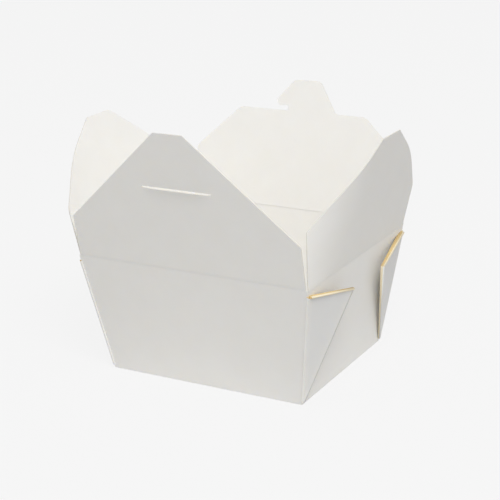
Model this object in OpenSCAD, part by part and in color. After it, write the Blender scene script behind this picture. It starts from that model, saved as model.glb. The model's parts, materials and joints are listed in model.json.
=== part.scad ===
// Fold-up takeout food box: one scored paperboard blank with folded web corners and four
// hinged top flaps, standing open. Origin at the middle of the base, +Z up, -Y is the front.

/* [Box] */
// Width of the base across the front
base_w = 110; // [90:1:140]
// Depth of the base from front to back
base_d = 90; // [78:1:120]
// How far each end wall leans out at the end crease
end_flare = 10; // [4:0.5:16]
// How far the front and back walls lean out at the end crease
front_flare = 10.5; // [4:0.5:16]
// Height of the end creases above the base
wall_h = 64; // [54:1:90]
// Thickness of the paperboard
board = 0.5; // [0.4:0.05:0.7]

/* [Creases] */
// Board crushed away above and below a flap's fold line
crease_relief = 0.45; // [0.4:0.05:0.7]
// Clearance between flaps that lie on each other when closed
ply_gap = 0.3; // [0.25:0.05:0.6]
// Clearance between a flap's side and the wall beside it
side_gap = 0.4; // [0.3:0.05:1]
// Radius of the small corners cut on the blank
cut_r = 1.2; // [0.4:0.1:2]

/* [Web corners] */
// How far below the end crease a web is cut off along its corner
web_drop = 3.6; // [1.5:0.1:12]
// Height at which a web leaves the bottom corner
web_start = 2; // [1:0.25:6]
// Angle that a folded web springs away from its end wall
web_spring = 10; // [4:1:20]
// Radius of the bent board along a corner
corner_r = 0.5; // [0.3:0.05:0.5]
// How deep the root of a web is pressed into its corner
web_sink = 0.2; // [0.1:0.05:0.3]
// Slack between the two plies of a web
web_slack = 0.2; // [0.1:0.05:0.3]
// Width of the strip along a web's edges where its plies stay pressed together
web_seam = 3; // [1.5:0.5:6]

/* [Front flap] */
// Angle of the front flap's lean from upright
front_lean = 10; // [0:1:30]
// Length of its straight sides
front_side = 22; // [12:0.5:30]
// Distance of its tip from the back crease when closed
front_clear = 39; // [30:0.5:46]
// Width of its cut tip
front_tip = 16; // [8:0.5:40]
// Play along the locking slit past the width of the tab at its hook
slit_play = 1.5; // [1:0.25:6]
// Play across the locking slit past the thickness of the tab
slit_slack = 0.3; // [0.2:0.05:0.8]

/* [Back flap] */
// Angle of the back flap's lean from upright
back_lean = 12; // [0:1:30]
// Length of its straight sides
back_side = 29; // [15:0.5:40]
// Width across its shoulders
shoulder_w = 76; // [60:1:100]
// Radius of its shoulders
shoulder_r = 7; // [2:0.5:12]
// Height of the locking tab above the shoulders
tab_h = 17; // [12:0.5:22]
// Distance of the tab's top from the front crease when closed
tab_clear = 41.5; // [34:0.5:50]
// How far the tab's top reaches past the slit when both flaps are closed
tab_tuck = 2; // [1:0.25:12]
// Width of the locking tab along the shoulders, from its hook to its plain side
tab_w = 39; // [32:0.5:44]
// Offset of the tab away from its hook
tab_shift = 1; // [0:0.25:5]
// Setback of the tab's top from its plain side
plain_slope = 10.5; // [4:0.5:13]
// Radius at the foot of its plain side
tab_foot = 3; // [1:0.5:6]
// Depth of the notch under the hook
hook_depth = 10; // [8:0.5:14]
// Height of the notch under the hook
hook_gap = 2.6; // [1.5:0.1:4]
// Setback of the tab's top from the hook
hook_slope = 13; // [10:0.5:17]
// Radius of the hook's point
hook_r = 2.4; // [1:0.1:3]
// Radius of the tab's top corners
tab_r = 4.5; // [2:0.5:6]

/* [End flaps] */
// Angle of the right end flap's lean from upright
right_lean = 14; // [0:1:30]
// Angle of the left end flap's lean from upright
left_lean = 17; // [0:1:30]
// Distance of each end flap's tip from the middle of the box when closed
tip_gap = 1; // [0.5:0.25:8]
// Width of their cut tips
end_tip = 20; // [10:0.5:40]
// Offset of the tip towards the rounded side
tip_shift = 6; // [0:0.5:10]
// Length of the straight side at the square corner
square_side = 27; // [14:0.5:34]
// Length of the straight side at the rounded corner
round_side = 24; // [14:0.5:34]
// How far the rounded side bulges past a straight cut
side_bulge = 5; // [1:0.5:8]
// Radius of the bulge in the rounded side
bulge_r = 60; // [20:1:70]
// Radius of the rounded corner
round_r = 8; // [3:0.5:12]

/* [Hidden] */
$fn = 48;
paper = [0.93, 0.92, 0.89];
arc_steps = 8;
// One flap's thickness and the air under the next one
ply = board + ply_gap;
front_crease = wall_h + ply;
back_crease = front_crease + ply;
end_tilt = atan(end_flare / wall_h);
front_tilt = atan(front_flare / wall_h);
// Turn of a corner edge within its end wall and within its front or back wall
corner_turn = atan(front_flare * cos(end_tilt) / wall_h);
front_turn = atan(end_flare * cos(front_tilt) / wall_h);
// The fold that halves the web between those two walls
web_angle = (90 - corner_turn - front_turn) / 2;
// Length of a corner edge from the base to the end crease, and of a web from the same corner
corner_edge = norm([wall_h, end_flare, front_flare]);
web_reach = corner_edge - web_drop;
// Longer than the box either way
past = 2 * (base_w + base_d);
// Inner spans of the mouth less the flaps' side clearance, where the flaps lie when closed
front_half = base_w / 2 + end_flare - board / cos(end_tilt) - side_gap;
end_half = base_d / 2 + front_flare - board / cos(front_tilt) - side_gap;

// The end flaps close to the middle of the box
end_reach = base_w / 2 + end_flare - tip_gap;
// Distance between the front and back creases, and the reach of the flaps across it
crease_span = base_d + front_flare * (front_crease + back_crease) / wall_h;
front_reach = crease_span - front_clear;
tab_reach = crease_span - tab_clear;
back_reach = tab_reach - tab_h;
// Narrowing of the tab from its shoulders to its hook, and the slit that meets it there
tab_waist = plain_slope * hook_gap / tab_h;
slit_at = tab_clear + tab_tuck;
slit_mid = tab_shift - tab_waist / 2;
slit_w = tab_w - tab_waist + slit_play;
slit_gap = board + slit_slack;

function unit(v) = v / norm(v);

// Points of a corner p between a and b, rounded to radius r
function corner(a, p, b, r) =
    let(
        to_a = unit(a - p),
        to_b = unit(b - p),
        half = acos(to_a * to_b) / 2,
        centre = p + unit(to_a + to_b) * r / sin(half),
        from = p + to_a * r / tan(half) - centre,
        turn = cross(to_b, to_a) > 0 ? 180 - 2 * half : 2 * half - 180,
        start = atan2(from.y, from.x)
    )
    [for (k = [0 : arc_steps])
        centre + r * [cos(start + turn * k / arc_steps), sin(start + turn * k / arc_steps)]];

// Closed outline through corners given as [x, y, radius]
function rounded(c) =
    let(n = len(c))
    [for (i = [0 : n - 1])
        let(
            p = [c[i].x, c[i].y],
            a = [c[(i + n - 1) % n].x, c[(i + n - 1) % n].y],
            b = [c[(i + 1) % n].x, c[(i + 1) % n].y]
        )
        each c[i].z == 0 ? [p] : corner(a, p, b, c[i].z)];

// Frame of a wall's outer face: x along the wall, y up the wall, z outwards
module wall_frame(turn, half, tilt) {
    rotate([0, 0, turn]) translate([0, -half, 0]) rotate([90 + tilt, 0, 0]) children();
}

// Half the distance between two flared sides at height z
function side(half, flare, z) = half + flare * z / wall_h;

// Profile between two flared sides from one height to another
function flared(half, flare, bottom, top) = [
    [-side(half, flare, bottom), bottom],
    [side(half, flare, bottom), bottom],
    [side(half, flare, top), top],
    [-side(half, flare, top), top]
];

// A profile of x and z, run through the box from front to back
module from_front() {
    rotate([90, 0, 0]) linear_extrude(past, center = true) children();
}

// A profile of y and z, run through the box from end to end
module from_end() {
    rotate([90, 0, 90]) linear_extrude(past, center = true) children();
}

// Base and four flared walls, each wall cut off under its own crease
module shell() {
    end_top = wall_h - crease_relief;
    front_top = front_crease - crease_relief;
    back_top = back_crease - crease_relief;
    above = back_crease + board;
    inner_w = base_w / 2 - board / cos(end_tilt);
    inner_d = base_d / 2 - board / cos(front_tilt);
    outside = [
        [-base_d / 2, 0],
        [base_d / 2, 0],
        [side(base_d / 2, front_flare, back_top), back_top],
        [0, back_top],
        [0, front_top],
        [-side(base_d / 2, front_flare, front_top), front_top]
    ];
    mouth = [
        [-side(inner_w, end_flare, 0), 0],
        [side(inner_w, end_flare, 0), 0],
        [side(inner_w, end_flare, end_top), end_top],
        [past, end_top],
        [past, above],
        [-past, above],
        [-past, end_top],
        [-side(inner_w, end_flare, end_top), end_top]
    ];
    difference() {
        intersection() {
            from_front() polygon(flared(base_w / 2, end_flare, -board, above));
            from_end() polygon(outside);
        }
        intersection() {
            from_front() polygon(mouth);
            from_end() polygon(flared(inner_d, front_flare, board, above));
        }
    }
}

// A web folded double along its diagonal and laid against the end wall
module web() {
    fold = [sin(web_angle), cos(web_angle)];
    outline = [[0, web_start], [0, web_reach], web_reach * fold, [web_start * tan(web_angle), web_start]];
    seam = [web_seam, web_seam * (1 + cos(web_angle)) / sin(web_angle)];
    slack = [seam, [web_seam, web_reach + web_seam], seam + web_reach * fold];
    rotate([0, -web_spring, 0]) translate([0, 0, -web_sink]) {
        difference() {
            linear_extrude(2 * board) polygon(outline);
            translate([0, 0, board - web_slack / 2]) linear_extrude(web_slack) polygon(slack);
        }
        translate([0, web_start - corner_r, board / 2]) rotate([-90, 0, 0])
            cylinder(r = corner_r, h = web_reach - web_start + 2 * corner_r);
    }
}

module tray() {
    color(paper) union() {
        shell();
        for (turn = [90, 270], hand = [0, 1])
            wall_frame(turn, base_w / 2, end_tilt)
                mirror([hand, 0, 0]) translate([-base_d / 2, 0, 0]) rotate([0, 0, corner_turn]) web();
    }
}

// A flap on its crease: the outline's y runs from the fold line to the tip
module flap(turn, half, tilt, crease, lean) {
    wall_frame(turn, half, tilt)
        translate([0, crease / cos(tilt), -board / 2])
            rotate([lean - tilt, 0, 0])
                translate([0, 0, -board / 2]) linear_extrude(board) children();
}

module front_flap() {
    outline = rounded([
        [-front_half, crease_relief, 0],
        [front_half, crease_relief, 0],
        [front_half, front_side, cut_r],
        [front_tip / 2, front_reach, cut_r],
        [-front_tip / 2, front_reach, cut_r],
        [-front_half, front_side, cut_r]
    ]);
    color(paper) flap(0, base_d / 2, front_tilt, front_crease, front_lean) difference() {
        polygon(outline);
        translate([slit_mid - slit_w / 2, slit_at - slit_gap / 2]) square([slit_w, slit_gap]);
    }
}

module back_flap() {
    plain = -tab_shift - tab_w / 2;
    hook = tab_w / 2 - tab_shift;
    notch_r = hook_gap / 3;
    outline = rounded([
        [-front_half, crease_relief, 0],
        [front_half, crease_relief, 0],
        [front_half, back_side, cut_r],
        [shoulder_w / 2, back_reach, shoulder_r],
        [hook - hook_depth, back_reach, notch_r],
        [hook - hook_depth, back_reach + hook_gap, notch_r],
        [hook, back_reach + hook_gap, hook_r],
        [hook - hook_slope, tab_reach, tab_r],
        [plain + plain_slope, tab_reach, tab_r],
        [plain, back_reach, tab_foot],
        [-shoulder_w / 2, back_reach, shoulder_r],
        [-front_half, back_side, cut_r]
    ]);
    color(paper) flap(180, base_d / 2, front_tilt, back_crease, back_lean) polygon(outline);
}

// The two end flaps are one shape, turned half round
module end_flap(turn, lean) {
    tip = [tip_shift + end_tip / 2, end_reach];
    shoulder = [end_half, round_side];
    out = unit([end_reach - round_side, end_half - tip.x]);
    bulge = (tip + shoulder) / 2 + side_bulge * out;
    outline = rounded([
        [-end_half, crease_relief, 0],
        [end_half, crease_relief, 0],
        [shoulder.x, shoulder.y, round_r],
        [bulge.x, bulge.y, bulge_r],
        [tip.x, tip.y, cut_r],
        [tip_shift - end_tip / 2, end_reach, cut_r],
        [-end_half, square_side, cut_r]
    ]);
    color(paper) flap(turn, base_w / 2, end_tilt, wall_h, lean) polygon(outline);
}

module left_flap() {
    end_flap(270, left_lean);
}

module right_flap() {
    end_flap(90, right_lean);
}

tray();
front_flap();
back_flap();
left_flap();
right_flap();
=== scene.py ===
"""Open paperboard takeout box: curled flaps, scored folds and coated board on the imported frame."""
import json
import math

import bmesh
import bpy
from mathutils import Matrix, Vector


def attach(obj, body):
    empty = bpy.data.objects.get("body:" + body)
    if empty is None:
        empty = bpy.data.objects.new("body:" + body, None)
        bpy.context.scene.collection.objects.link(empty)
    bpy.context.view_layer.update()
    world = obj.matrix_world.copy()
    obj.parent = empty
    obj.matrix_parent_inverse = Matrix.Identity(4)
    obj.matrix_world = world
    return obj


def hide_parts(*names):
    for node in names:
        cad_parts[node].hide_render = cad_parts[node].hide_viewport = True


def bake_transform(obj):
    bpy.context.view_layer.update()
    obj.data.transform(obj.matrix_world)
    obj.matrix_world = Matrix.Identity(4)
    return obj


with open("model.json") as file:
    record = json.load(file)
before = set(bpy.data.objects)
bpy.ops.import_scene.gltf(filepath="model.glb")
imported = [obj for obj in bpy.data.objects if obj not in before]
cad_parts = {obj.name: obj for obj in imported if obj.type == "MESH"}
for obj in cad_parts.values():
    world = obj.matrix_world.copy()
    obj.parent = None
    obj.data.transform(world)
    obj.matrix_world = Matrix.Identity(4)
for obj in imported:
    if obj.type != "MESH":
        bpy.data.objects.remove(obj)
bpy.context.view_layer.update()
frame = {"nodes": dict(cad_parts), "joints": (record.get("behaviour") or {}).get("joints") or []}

MM = 0.001
UP = Vector((0, 0, 1))

# Sizes of the box, as its solids have them
BASE_W = 110 * MM
BASE_D = 90 * MM
END_FLARE = 10 * MM
FRONT_FLARE = 10.5 * MM
WALL_H = 64 * MM
BOARD = 0.5 * MM
RELIEF = 0.45 * MM
PLY_GAP = 0.3 * MM
SIDE_GAP = 0.4 * MM
CUT_R = 1.2 * MM
FRONT_CREASE = WALL_H + BOARD + PLY_GAP
BACK_CREASE = FRONT_CREASE + BOARD + PLY_GAP
CREASE_SPAN = BASE_D + FRONT_FLARE * (FRONT_CREASE + BACK_CREASE) / WALL_H
END_TILT = math.atan(END_FLARE / WALL_H)
FRONT_TILT = math.atan(FRONT_FLARE / WALL_H)
FRONT_HALF = BASE_W / 2 + END_FLARE - BOARD / math.cos(END_TILT) - SIDE_GAP
END_HALF = BASE_D / 2 + FRONT_FLARE - BOARD / math.cos(FRONT_TILT) - SIDE_GAP

# Back flap and its hooked tab
BACK_LEAN = math.radians(12)
BACK_SIDE = 29 * MM
SHOULDER_W = 76 * MM
SHOULDER_R = 7 * MM
TAB_H = 17 * MM
TAB_CLEAR = 41.5 * MM
TAB_W = 39 * MM
TAB_SHIFT = 1 * MM
PLAIN_SLOPE = 10.5 * MM
TAB_FOOT = 3 * MM
HOOK_DEPTH = 10 * MM
HOOK_GAP = 2.6 * MM
HOOK_SLOPE = 13 * MM
HOOK_R = 2.4 * MM
TAB_R = 4.5 * MM
NOTCH_R = HOOK_GAP / 3
TAB_REACH = CREASE_SPAN - TAB_CLEAR
BACK_REACH = TAB_REACH - TAB_H
TAB_PLAIN = -TAB_SHIFT - TAB_W / 2
TAB_HOOK = TAB_W / 2 - TAB_SHIFT

# Front flap and the locking slit that meets the tab
FRONT_LEAN = math.radians(10)
FRONT_SIDE = 22 * MM
FRONT_CLEAR = 39 * MM
FRONT_TIP = 16 * MM
TAB_TUCK = 2 * MM
SLIT_PLAY = 1.5 * MM
SLIT_SLACK = 0.3 * MM
FRONT_REACH = CREASE_SPAN - FRONT_CLEAR
TAB_WAIST = PLAIN_SLOPE * HOOK_GAP / TAB_H
SLIT_AT = TAB_CLEAR + TAB_TUCK
SLIT_MID = TAB_SHIFT - TAB_WAIST / 2
SLIT_W = TAB_W - TAB_WAIST + SLIT_PLAY
SLIT_GAP = BOARD + SLIT_SLACK

# End flaps, one shape turned half round and trimmed at the side that rolls in
RIGHT_LEAN = math.radians(14)
LEFT_LEAN = math.radians(17)
TIP_GAP = 1 * MM
END_TIP = 20 * MM
TIP_SHIFT = 6 * MM
SQUARE_SIDE = 27 * MM
ROUND_SIDE = 24 * MM
SIDE_BULGE = 5 * MM
BULGE_R = 60 * MM
ROUND_R = 8 * MM
ROLL_TRIM = 0.25 * MM
END_REACH = BASE_W / 2 + END_FLARE - TIP_GAP

# Web corners, folded double and sprung a little off the end walls
WEB_DROP = 3.6 * MM
WEB_START = 2 * MM
WEB_SPRING = math.radians(10)
WEB_SINK = 0.2 * MM
CORNER_TURN = math.atan(FRONT_FLARE * math.cos(END_TILT) / WALL_H)
FRONT_TURN = math.atan(END_FLARE * math.cos(FRONT_TILT) / WALL_H)
WEB_ANGLE = (math.pi / 2 - CORNER_TURN - FRONT_TURN) / 2
WEB_REACH = Vector((WALL_H, END_FLARE, FRONT_FLARE)).length - WEB_DROP

# Half widths of a web's plies, splayed at the corner and pressed together at the fold and foot,
# how far their edge bulges, where it starts, and how squarely a coated face looks outwards
SPLAY = (1.5 * MM, 1.05 * MM, 0.6 * MM)
EDGE_BULGE = 0.55 * MM
EDGE_START = 1.5 * MM
EDGE_SIDES = 16
COATED_FACING = 0.35

# How far the slit's lower lip stands out and its upper lip lies back, how soon that fades, the
# back flap's bend per metre, how far each end flap's front side rolls in, and where that starts
LIP_OUT = 0.6 * MM
LIP_BACK = 0.15 * MM
LIP_RUN = 7 * MM
BACK_BEND = 0.25
RIGHT_ROLL = 7.5 * MM
LEFT_ROLL = 1.6 * MM
ROLL_FROM = END_HALF / 5

# Depth and width of the groove that a score leaves on the outside of a fold
SCORE_DEPTH = 0.06 * MM
SCORE_W = 0.7 * MM

# Fineness of the flaps' meshes, the step that finds their normals, the scale of their flat
# coordinates, and the places of their two materials
ARC_STEPS = 8
GRID = 2 * MM
FOLD_CUTS = 6
CURL_STEPS = 16
PROBE = 0.05 * MM
UV_PER_M = 10
FACE, RIM = 0, 1

# Colours, pale and shaded ends of a random tone: coated board, bare core, cut edges, the webs' rims,
# and the webs' folds, whose cream is painted warm light bounced in the gaps beside them
WHITE = (0.935, 0.918, 0.882), (0.915, 0.896, 0.855)
TAN = (0.640, 0.450, 0.170), (0.540, 0.355, 0.110)
PALE_EDGE = (0.78, 0.755, 0.70), (0.72, 0.69, 0.62)
RIM_TAN = (0.78, 0.60, 0.31), (0.68, 0.50, 0.23)
FOLD_PAINTED_GLOW = (0.90, 0.80, 0.60), (0.84, 0.73, 0.52)
TONE_STOPS = (0.35, 0.65)

# Roughness and fibre relief of each surface, the spread of its gloss, and its mirror strength
COATED_FEEL = 0.56, 0.35
CUT_FEEL = 0.85, 0.8
RIM_FEEL = 0.8, 0.6
FOLD_FEEL = 0.7, 0.5
GLOSS_SPREAD = 0.06
SPECULAR = 0.35

# Noises of the board, scaled per metre: cloudy tone, fine fibres and slow waves
CLOUD = {"Scale": 60, "Detail": 3.0, "Roughness": 0.55}
FIBRE = {"Scale": 1400, "Detail": 4.0, "Roughness": 0.6, "Distortion": 1.2}
WAVE = {"Scale": 22, "Detail": 1.0}

# Fibres of the bare core, scaled over the whole tray
CORE_FIBRE = {"Scale": 900.0, "Detail": 3.0}

# Share of the fibres in the tone, and how far fibres and waves stand out
FIBRE_SHARE = 0.35
FIBRE_DEPTH = 0.03 * MM
WAVE_DEPTH = 0.4 * MM
WAVE_STRENGTH = 0.25

# Light that passes through thin board: its share, how far each colour gets, and the depth
THROUGH_LIGHT = 0.3
THROUGH_TINT = (1.0, 0.86, 0.66)
THROUGH_DEPTH = 1.2 * MM

# The webs' cut tops face upwards, less so than the base and more so than any wall, and their
# folded edges face forwards or back and down, more so than any wall; then how tan each is, the
# folds' tan being partly bare core and partly painted warm light from the gaps behind them
WEB_TOP_FACING = (0.6, 0.985)
WEB_FOLD_FACING = (-0.7, -0.3)
TOP_TAN = 1.0
FOLD_CORE_AND_PAINTED_GLOW = 0.55

# Floor, wide enough to fill the frame: to the light a painted pool of light, paler around the box
# and fading into greyer ground, that brightens the foot of the walls by bounce, and to the camera an
# even white with a share of shadow
FLOOR_HALF = 6.0
FLOOR_DROP = 0.2 * MM
FLOOR_ROUGHNESS = 0.9
PAINTED_POOL_COLOUR = (0.62, 0.62, 0.62)
GROUND_COLOUR = (0.40, 0.40, 0.40)
PAINTED_POOL_RADIUS = 0.2
PAINTED_POOL_FADE = (0.25, 0.7)
FLOOR_COLOUR = (0.43, 0.43, 0.43, 1)
FLOOR_GLOW = (1.0, 1.0, 1.0, 1)
SHADOW_SHARE = 0.15

# Even sky with a pale backdrop, and a soft key from above that reaches into the open box
SKY_COLOUR = (1, 1, 1, 1)
SKY = 0.65
BACKDROP = (0.92, 0.92, 0.92, 1)
KEY_AT = Vector((0.80, -0.80, 1.64))
KEY_SIZE = 0.9
KEY_POWER = 18.6

# Camera: lens in pixels of the 500 pixel frame, place and aim
FRAME_PX = 500
SENSOR = 36
LENS_PX = 1400
CAMERA_AT = Vector((346.8, -595.7, 291.4)) * MM
CAMERA_YAW = math.radians(-29.994)
CAMERA_PITCH = math.radians(18.686)
CAMERA_ROLL = math.radians(-2.076)


def corner_arc(a, p, b, radius):
    """Points of the corner p between a and b, rounded to a radius."""
    to_a, to_b = (a - p).normalized(), (b - p).normalized()
    half = to_a.angle(to_b) / 2
    centre = p + (to_a + to_b).normalized() * radius / math.sin(half)
    start = p + to_a * radius / math.tan(half) - centre
    cross = to_b.x * to_a.y - to_b.y * to_a.x
    turn = math.copysign(math.pi - 2 * half, cross)
    turns = [turn * k / ARC_STEPS for k in range(ARC_STEPS + 1)]
    return [centre + Matrix.Rotation(t, 2) @ start for t in turns]


def rounded(corners):
    """Closed outline through corners given as (u, v, radius)."""
    points = [Vector(c[:2]) for c in corners]
    outline = []
    for i, (*_, radius) in enumerate(corners):
        a, b = points[i - 1], points[(i + 1) % len(points)]
        outline += corner_arc(a, points[i], b, radius) if radius else [points[i]]
    return outline


def front_outline():
    return rounded([
        (-FRONT_HALF, -RELIEF, 0),
        (FRONT_HALF, -RELIEF, 0),
        (FRONT_HALF, FRONT_SIDE, CUT_R),
        (FRONT_TIP / 2, FRONT_REACH, CUT_R),
        (-FRONT_TIP / 2, FRONT_REACH, CUT_R),
        (-FRONT_HALF, FRONT_SIDE, CUT_R),
    ])


def front_slit():
    left, right = SLIT_MID - SLIT_W / 2, SLIT_MID + SLIT_W / 2
    low, high = SLIT_AT - SLIT_GAP / 2, SLIT_AT + SLIT_GAP / 2
    return [Vector(p) for p in ((left, low), (right, low), (right, high), (left, high))]


def back_outline():
    return rounded([
        (-FRONT_HALF, -RELIEF, 0),
        (FRONT_HALF, -RELIEF, 0),
        (FRONT_HALF, BACK_SIDE, CUT_R),
        (SHOULDER_W / 2, BACK_REACH, SHOULDER_R),
        (TAB_HOOK - HOOK_DEPTH, BACK_REACH, NOTCH_R),
        (TAB_HOOK - HOOK_DEPTH, BACK_REACH + HOOK_GAP, NOTCH_R),
        (TAB_HOOK, BACK_REACH + HOOK_GAP, HOOK_R),
        (TAB_HOOK - HOOK_SLOPE, TAB_REACH, TAB_R),
        (TAB_PLAIN + PLAIN_SLOPE, TAB_REACH, TAB_R),
        (TAB_PLAIN, BACK_REACH, TAB_FOOT),
        (-SHOULDER_W / 2, BACK_REACH, SHOULDER_R),
        (-FRONT_HALF, BACK_SIDE, CUT_R),
    ])


def end_outline():
    tip = Vector((TIP_SHIFT + END_TIP / 2, END_REACH))
    shoulder = Vector((END_HALF, ROUND_SIDE))
    out = Vector((END_REACH - ROUND_SIDE, END_HALF - tip.x)).normalized()
    bulge = (tip + shoulder) / 2 + SIDE_BULGE * out
    return rounded([
        (-END_HALF, -RELIEF, 0),
        (END_HALF, -RELIEF, 0),
        (shoulder.x, shoulder.y, ROUND_R),
        (bulge.x, bulge.y, BULGE_R),
        (tip.x, tip.y, CUT_R),
        (TIP_SHIFT - END_TIP / 2, END_REACH, CUT_R),
        (ROLL_TRIM - END_HALF, SQUARE_SIDE, CUT_R),
    ])


def sprung_slit(u, v):
    """The front flap's board, eased apart along its slit."""
    across = max(0.0, 1 - (2 * (u - SLIT_MID) / SLIT_W) ** 4)
    near = max(0.0, 1 - abs(v - SLIT_AT) / LIP_RUN) ** 2
    return across * near * (LIP_OUT if v < SLIT_AT else -LIP_BACK)


def bent_back(u, v):
    """The back flap, bent outwards towards its tip."""
    return BACK_BEND * v * v


def rolled(side, depth):
    """An end flap with one side rolled in, less so towards the fold."""
    def bow(u, v):
        past = max(0.0, side * u - ROLL_FROM) / (END_HALF - ROLL_FROM)
        return -depth * past ** 2 * v / SQUARE_SIDE
    return bow


def smooth(x):
    """Eases from 0 to 1."""
    x = min(1.0, max(0.0, x))
    return x * x * (3 - 2 * x)


class Flap:
    """A flap's place: u runs along its fold, v from the fold to the tip, and bow is its curl."""

    def __init__(self, joint, turn, tilt, lean, bow):
        self.fold = Vector(joint["pos_m"])
        self.along = Vector((math.cos(turn), math.sin(turn), 0))
        self.out = Vector((math.sin(turn), -math.cos(turn), 0))
        self.tilt, self.lean, self.bow = tilt, lean, bow

    def rise(self, angle):
        """The way up a sheet that leans out by an angle."""
        return UP * math.cos(angle) + self.out * math.sin(angle)

    def face(self, angle):
        """The way its outer face looks."""
        return self.out * math.cos(angle) - UP * math.sin(angle)

    def angle(self, v):
        """Lean at a distance from the fold, eased from the wall's to the flap's."""
        return self.tilt + (self.lean - self.tilt) * smooth((v + RELIEF) / (2 * RELIEF))

    def drawn_in(self, u, v):
        """Place along the fold of a point u along the sheet, which curls without stretching."""
        step = u / CURL_STEPS
        bows = [self.bow(step * k, v) for k in range(CURL_STEPS + 1)]
        runs = [math.sqrt(max(0.0, step ** 2 - (b - a) ** 2)) for a, b in zip(bows, bows[1:])]
        return math.copysign(sum(runs), u)

    def point(self, u, v):
        """A point in the middle of the board."""
        score = SCORE_DEPTH * max(0.0, 1 - abs(v) / SCORE_W) ** 2
        proud = (self.bow(u, v) if v > 0 else 0.0) - score
        along = self.drawn_in(u, v) if v > 0 else u
        angle = self.angle(v)
        return self.fold + self.along * along + self.rise(angle) * v + self.face(angle) * proud

    def normal(self, u, v):
        du = self.point(u + PROBE, v) - self.point(u - PROBE, v)
        dv = self.point(u, v + PROBE) - self.point(u, v - PROBE)
        return du.cross(dv).normalized()


def add_object(name, data):
    """A scene object of a mesh, lamp or camera."""
    made = bpy.data.objects.new(name, data)
    bpy.context.scene.collection.objects.link(made)
    return made


def add_piece(name, bm, materials):
    """A scene object of a mesh that has just been built."""
    mesh = bpy.data.meshes.new(name)
    bm.to_mesh(mesh)
    bm.free()
    for material in materials:
        mesh.materials.append(material)
    return add_object(name, mesh)


def cut_sheet(outline, holes):
    """The flat cut outline, filled and divided into a grid that can curl."""
    bm = bmesh.new()
    for cut in [outline, *holes]:
        ring = [bm.verts.new((p.x, p.y, 0)) for p in cut]
        for a, b in zip(ring, ring[1:] + ring[:1]):
            bm.edges.new((a, b))
    bmesh.ops.triangle_fill(bm, edges=bm.edges[:], use_dissolve=True, normal=(0, 0, 1))
    left = min(v.co.x for v in bm.verts)
    right = max(v.co.x for v in bm.verts)
    tip = max(v.co.y for v in bm.verts)
    u, v = Vector((1, 0, 0)), Vector((0, 1, 0))
    cuts = [(u, left + GRID * k) for k in range(1, int((right - left) / GRID) + 1)]
    cuts += [(v, RELIEF * 2 + GRID * k) for k in range(int(tip / GRID) + 1)]
    cuts += [(v, -RELIEF + 2 * RELIEF * k / FOLD_CUTS) for k in range(1, FOLD_CUTS + 1)]
    for normal, at in cuts:
        everything = bm.verts[:] + bm.edges[:] + bm.faces[:]
        bmesh.ops.bisect_plane(bm, geom=everything, plane_co=normal * at, plane_no=normal)
    return bm


def board_sheet(name, flap, outline, holes, materials):
    """A flap as board of real thickness: two faces and a cut rim with a material of its own."""
    flat = cut_sheet(outline, holes)
    flat.verts.index_update()
    at = [v.co.xy for v in flat.verts]
    middle = [flap.point(*p) for p in at]
    normal = [flap.normal(*p) for p in at]
    bm = bmesh.new()
    uv = bm.loops.layers.uv.new("board")
    outer = [bm.verts.new(m + n * BOARD / 2) for m, n in zip(middle, normal)]
    inner = [bm.verts.new(m - n * BOARD / 2) for m, n in zip(middle, normal)]

    def add(verts, flat_at, material):
        made = bm.faces.new(verts)
        made.smooth = True
        made.material_index = material
        for loop, p in zip(made.loops, flat_at):
            loop[uv].uv = p * UV_PER_M

    for face in flat.faces:
        ids = [v.index for v in face.verts]
        ids = ids if face.normal.z > 0 else ids[::-1]
        add([outer[i] for i in ids], [at[i] for i in ids], FACE)
        add([inner[i] for i in ids[::-1]], [at[i] for i in ids[::-1]], FACE)
    for edge in flat.edges:
        if edge.is_boundary:
            a, b = (v.index for v in edge.verts)
            add([outer[a], inner[a], inner[b], outer[b]], [at[a], at[a], at[b], at[b]], RIM)
    flat.free()
    bmesh.ops.recalc_face_normals(bm, faces=bm.faces[:])
    for edge in bm.edges:
        edge.smooth = len({f.material_index for f in edge.link_faces}) == 1
    return add_piece(name, bm, materials)


def web_frame(turn, hand):
    """Place of a web: x away from its corner, y up the corner edge, z out of the end wall."""
    place = Matrix.Rotation(turn, 4, "Z") @ Matrix.Translation((0, -BASE_W / 2, 0))
    place = place @ Matrix.Rotation(math.pi / 2 + END_TILT, 4, "X")
    place = place @ Matrix.Diagonal((hand, 1, 1, 1)) @ Matrix.Translation((-BASE_D / 2, 0, 0))
    place = place @ Matrix.Rotation(CORNER_TURN, 4, "Z") @ Matrix.Rotation(-WEB_SPRING, 4, "Y")
    return place @ Matrix.Translation((0, 0, BOARD - WEB_SINK))


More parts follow.
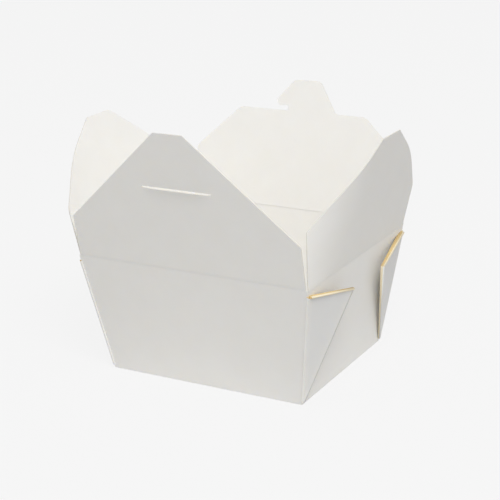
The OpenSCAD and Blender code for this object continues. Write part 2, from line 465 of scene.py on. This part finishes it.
def web_edge(name, place, materials):
    """The soft double edge of a web, along its cut top and down its fold."""
    corner = Vector((EDGE_START, WEB_REACH))
    fold = Vector((math.sin(WEB_ANGLE), math.cos(WEB_ANGLE))) * WEB_REACH
    foot = Vector((math.tan(WEB_ANGLE), 1)) * WEB_START
    top_out = (fold - corner).orthogonal().normalized()
    fold_out = (foot - fold).orthogonal().normalized()
    turn_out = (top_out + fold_out) / (1 + top_out.dot(fold_out))
    bm = bmesh.new()
    rings = []
    for at, out, half in zip((corner, fold, foot), (top_out, turn_out, fold_out), SPLAY):
        ring = []
        for k in range(EDGE_SIDES):
            angle = 2 * math.pi * k / EDGE_SIDES
            p = at + out * EDGE_BULGE * math.sin(angle)
            ring.append(bm.verts.new(place @ Vector((p.x, p.y, half * math.cos(angle)))))
        rings.append(ring)
    # The top takes the first material and the fold the second, and their outer sides the next one
    for bare, (a, b) in enumerate(zip(rings, rings[1:])):
        for k in range(EDGE_SIDES):
            j = (k + 1) % EDGE_SIDES
            made = bm.faces.new((a[k], a[j], b[j], b[k]))
            made.smooth = True
            outward = math.cos(2 * math.pi * (k + 0.5) / EDGE_SIDES)
            made.material_index = bare + (outward > COATED_FACING)
    bm.faces.new(rings[0])
    bm.faces.new(rings[-1])
    bmesh.ops.recalc_face_normals(bm, faces=bm.faces[:])
    return add_piece(name, bm, materials)


def feed(tree, socket, value):
    """Sets an input socket to a value, or links it to another node's socket."""
    if isinstance(value, bpy.types.NodeSocket):
        tree.links.new(value, socket)
    else:
        socket.default_value = value


def fill(tree, made, **values):
    """A shader node with its input sockets fed by name."""
    for key, value in values.items():
        feed(tree, made.inputs[key.replace("_", " ")], value)
    return made


def node(tree, kind, **values):
    """A new shader node with its input sockets fed by name."""
    return fill(tree, tree.nodes.new(kind), **values)


def math_node(tree, operation, a, b):
    """A sum or test of two values, each a number or another node's socket."""
    made = tree.nodes.new("ShaderNodeMath")
    made.operation = operation
    feed(tree, made.inputs[0], a)
    feed(tree, made.inputs[1], b)
    return made.outputs[0]


def mix_colour(tree, factor, a, b):
    """A blend from colour a to colour b."""
    made = tree.nodes.new("ShaderNodeMix")
    made.data_type = "RGBA"
    return fill(tree, made, Factor=factor, A=a, B=b).outputs["Result"]


def ramp(tree, source, pale, shade, stops=TONE_STOPS):
    """A colour ramp from shade to pale over a value."""
    made = node(tree, "ShaderNodeValToRGB", Fac=source)
    for stop, place, colour in zip(made.color_ramp.elements, stops, (shade, pale)):
        stop.position, stop.color = place, (*colour, 1)
    return made.outputs["Color"]


def noise(tree, where, per_m, settings):
    """A noise over coordinates that count per_m to the metre."""
    made = node(tree, "ShaderNodeTexNoise", Vector=where, **settings)
    made.inputs["Scale"].default_value = settings["Scale"] / per_m
    return made.outputs["Fac"]


def shows_backdrop(tree):
    """1 for rays from the camera, straight or by way of a mirror or glass, and 0 for light."""
    path = tree.nodes.new("ShaderNodeLightPath").outputs
    mirrored = math_node(tree, "MAXIMUM", path["Is Glossy Ray"], path["Is Transmission Ray"])
    return math_node(tree, "MAXIMUM", path["Is Camera Ray"], mirrored)


def show_apart(tree, share, lit, shown, output):
    """Lights the object by one shader and shows the camera a share of another."""
    seen = node(tree, "ShaderNodeMixShader", Fac=share)
    tree.links.new(lit, seen.inputs[1])
    tree.links.new(shown, seen.inputs[2])
    tree.links.new(seen.outputs["Shader"], tree.nodes[output].inputs["Surface"])


def new_material(name):
    """A material with its node tree and its shader."""
    material = bpy.data.materials.new(name)
    material.use_nodes = True
    return material, material.node_tree, material.node_tree.nodes["Principled BSDF"]


def paper(name, coords, per_m, colours, roughness, fibre_bump):
    """Pressed paper fibre: cloudy tone, fine fibres and a soft uneven gloss."""
    material, tree, shader = new_material(name)
    where = tree.nodes.new("ShaderNodeTexCoord").outputs[coords]
    cloud, fibre, wave = (noise(tree, where, per_m, kind) for kind in (CLOUD, FIBRE, WAVE))
    tone = mix_colour(tree, FIBRE_SHARE, ramp(tree, cloud, *colours), ramp(tree, fibre, *colours))
    gloss = node(tree, "ShaderNodeMapRange", Value=cloud)
    fill(tree, gloss, To_Min=roughness - GLOSS_SPREAD, To_Max=roughness + GLOSS_SPREAD)
    sag = node(tree, "ShaderNodeBump", Height=wave, Strength=WAVE_STRENGTH, Distance=WAVE_DEPTH)
    grain = node(tree, "ShaderNodeBump", Height=fibre, Strength=fibre_bump, Distance=FIBRE_DEPTH)
    fill(tree, grain, Normal=sag.outputs["Normal"])
    fill(
        tree, shader,
        Base_Color=tone,
        Roughness=gloss.outputs["Result"],
        Normal=grain.outputs["Normal"],
        Specular_IOR_Level=SPECULAR,
        Subsurface_Weight=THROUGH_LIGHT,
        Subsurface_Radius=THROUGH_TINT,
        Subsurface_Scale=THROUGH_DEPTH,
    )
    return material


def tan_webs(material):
    """Bare tan core on the webs' cut tops, and along their folds a tan line that is partly bare core
    and partly painted warm light from the gaps behind them.
    """
    tree = material.node_tree
    shader = tree.nodes["Principled BSDF"]
    normal = tree.nodes.new("ShaderNodeNewGeometry").outputs["True Normal"]
    upward = node(tree, "ShaderNodeSeparateXYZ", Vector=normal).outputs["Z"]
    fibre = node(tree, "ShaderNodeTexNoise", **CORE_FIBRE)
    tan = ramp(tree, fibre.outputs["Fac"], *TAN)
    # The second pass paints the folds' tan line: partly bare core, partly painted warm light from
    # the gaps behind them
    for (low, high), share in ((WEB_TOP_FACING, TOP_TAN), (WEB_FOLD_FACING, FOLD_CORE_AND_PAINTED_GLOW)):
        over = math_node(tree, "GREATER_THAN", upward, low)
        under = math_node(tree, "LESS_THAN", upward, high)
        bare = math_node(tree, "MULTIPLY", math_node(tree, "MULTIPLY", over, under), share)
        board = shader.inputs["Base Color"].links[0].from_socket
        fill(tree, shader, Base_Color=mix_colour(tree, bare, board, tan))


def plain_floor():
    material, tree, shader = new_material("floor")
    where = tree.nodes.new("ShaderNodeTexCoord").outputs["Object"]
    # To the light the floor is paler near the box: a painted pool of light that brightens the foot
    # of the walls by bounce
    place = node(tree, "ShaderNodeMapping", Vector=where, Scale=(1 / PAINTED_POOL_RADIUS,) * 3)
    sheet = node(tree, "ShaderNodeTexGradient", Vector=place.outputs["Vector"])
    sheet.gradient_type = "SPHERICAL"
    lit = ramp(tree, sheet.outputs["Fac"], PAINTED_POOL_COLOUR, GROUND_COLOUR, PAINTED_POOL_FADE)
    seen = shows_backdrop(tree)
    colour = mix_colour(tree, seen, lit, FLOOR_COLOUR)
    fill(tree, shader, Base_Color=colour, Roughness=FLOOR_ROUGHNESS)
    glow = node(tree, "ShaderNodeEmission", Color=FLOOR_GLOW, Strength=1.0)
    share = math_node(tree, "MULTIPLY", seen, 1 - SHADOW_SHARE)
    show_apart(tree, share, shader.outputs["BSDF"], glow.outputs["Emission"], "Material Output")
    mesh = bpy.data.meshes.new("floor")
    ways = [(-1, -1), (1, -1), (1, 1), (-1, 1)]
    corners = [(x * FLOOR_HALF, y * FLOOR_HALF, -FLOOR_DROP) for x, y in ways]
    mesh.from_pydata(corners, [], [(0, 1, 2, 3)])
    mesh.materials.append(material)
    made = add_object("floor", mesh)


def soft_sky():
    world = bpy.data.worlds.new("sky")
    world.use_nodes = True
    tree = world.node_tree
    light = fill(tree, tree.nodes["Background"], Color=SKY_COLOUR, Strength=SKY)
    shown = node(tree, "ShaderNodeBackground", Color=BACKDROP, Strength=1.0)
    skies = light.outputs["Background"], shown.outputs["Background"]
    show_apart(tree, shows_backdrop(tree), *skies, "World Output")
    bpy.context.scene.world = world


def key_light():
    lamp = bpy.data.lights.new("key", "AREA")
    lamp.shape, lamp.size, lamp.energy = "DISK", KEY_SIZE, KEY_POWER
    made = add_object("key", lamp)
    made.location = KEY_AT
    made.rotation_mode = "QUATERNION"
    made.rotation_quaternion = (-KEY_AT).to_track_quat("-Z", "Y")


def photo_camera():
    ahead = Vector((
        math.sin(CAMERA_YAW) * math.cos(CAMERA_PITCH),
        math.cos(CAMERA_YAW) * math.cos(CAMERA_PITCH),
        -math.sin(CAMERA_PITCH),
    ))
    level = Vector((math.cos(CAMERA_YAW), -math.sin(CAMERA_YAW), 0))
    upright = level.cross(ahead)
    c, s = math.cos(CAMERA_ROLL), math.sin(CAMERA_ROLL)
    right, up = level * c + upright * s, upright * c - level * s
    data = bpy.data.cameras.new("camera")
    data.sensor_width = SENSOR
    data.lens = LENS_PX / FRAME_PX * SENSOR
    made = add_object("camera", data)
    turn = Matrix((right, up, -ahead)).transposed().to_4x4()
    made.matrix_world = Matrix.Translation(CAMERA_AT) @ turn
    bpy.context.scene.camera = made


tray_board = paper("tray_board", "Object", 1, WHITE, *COATED_FEEL)
flap_board = paper("flap_board", "UV", UV_PER_M, WHITE, *COATED_FEEL)
cut_edge = paper("cut_edge", "UV", UV_PER_M, PALE_EDGE, *CUT_FEEL)
web_rim = paper("web_rim", "Object", 1, RIM_TAN, *RIM_FEEL)
# The webs' fold material is a cream painted as warm light bounced in the gaps and pockets beside the
# webs
web_fold_painted_glow = paper("web_fold_painted_glow", "Object", 1, FOLD_PAINTED_GLOW, *FOLD_FEEL)
web_board = paper("web_board", "Object", 1, WHITE, *COATED_FEEL)

tan_webs(tray_board)
for slot in frame["nodes"]["tray"].material_slots:
    slot.material = tray_board

for end, turn in (("right", 90), ("left", 270)):
    for side, hand in (("a", 1), ("b", -1)):
        place = web_frame(math.radians(turn), hand)
        edge = web_edge(f"{end}_web_edge_{side}", place, [web_rim, web_fold_painted_glow, web_board])
        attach(edge, "tray")

# Each flap: turn of its wall in degrees, tilt of the wall, lean, curl, outline and holes
FLAPS = {
    "front_flap": (0, FRONT_TILT, FRONT_LEAN, sprung_slit, front_outline(), [front_slit()]),
    "right_flap": (90, END_TILT, RIGHT_LEAN, rolled(-1, RIGHT_ROLL), end_outline(), []),
    "back_flap": (180, FRONT_TILT, BACK_LEAN, bent_back, back_outline(), []),
    "left_flap": (270, END_TILT, LEFT_LEAN, rolled(1, LEFT_ROLL), end_outline(), []),
}
joints = {j["child"]: j for j in frame["joints"]}
for name, (turn, tilt, lean, bow, outline, holes) in FLAPS.items():
    flap = Flap(joints[name], math.radians(turn), tilt, lean, bow)
    piece = board_sheet(name + "_board", flap, outline, holes, [flap_board, cut_edge])
    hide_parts(name)
    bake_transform(piece)

plain_floor()
soft_sky()
key_light()
photo_camera()
bpy.context.scene.view_settings.view_transform = "Standard"
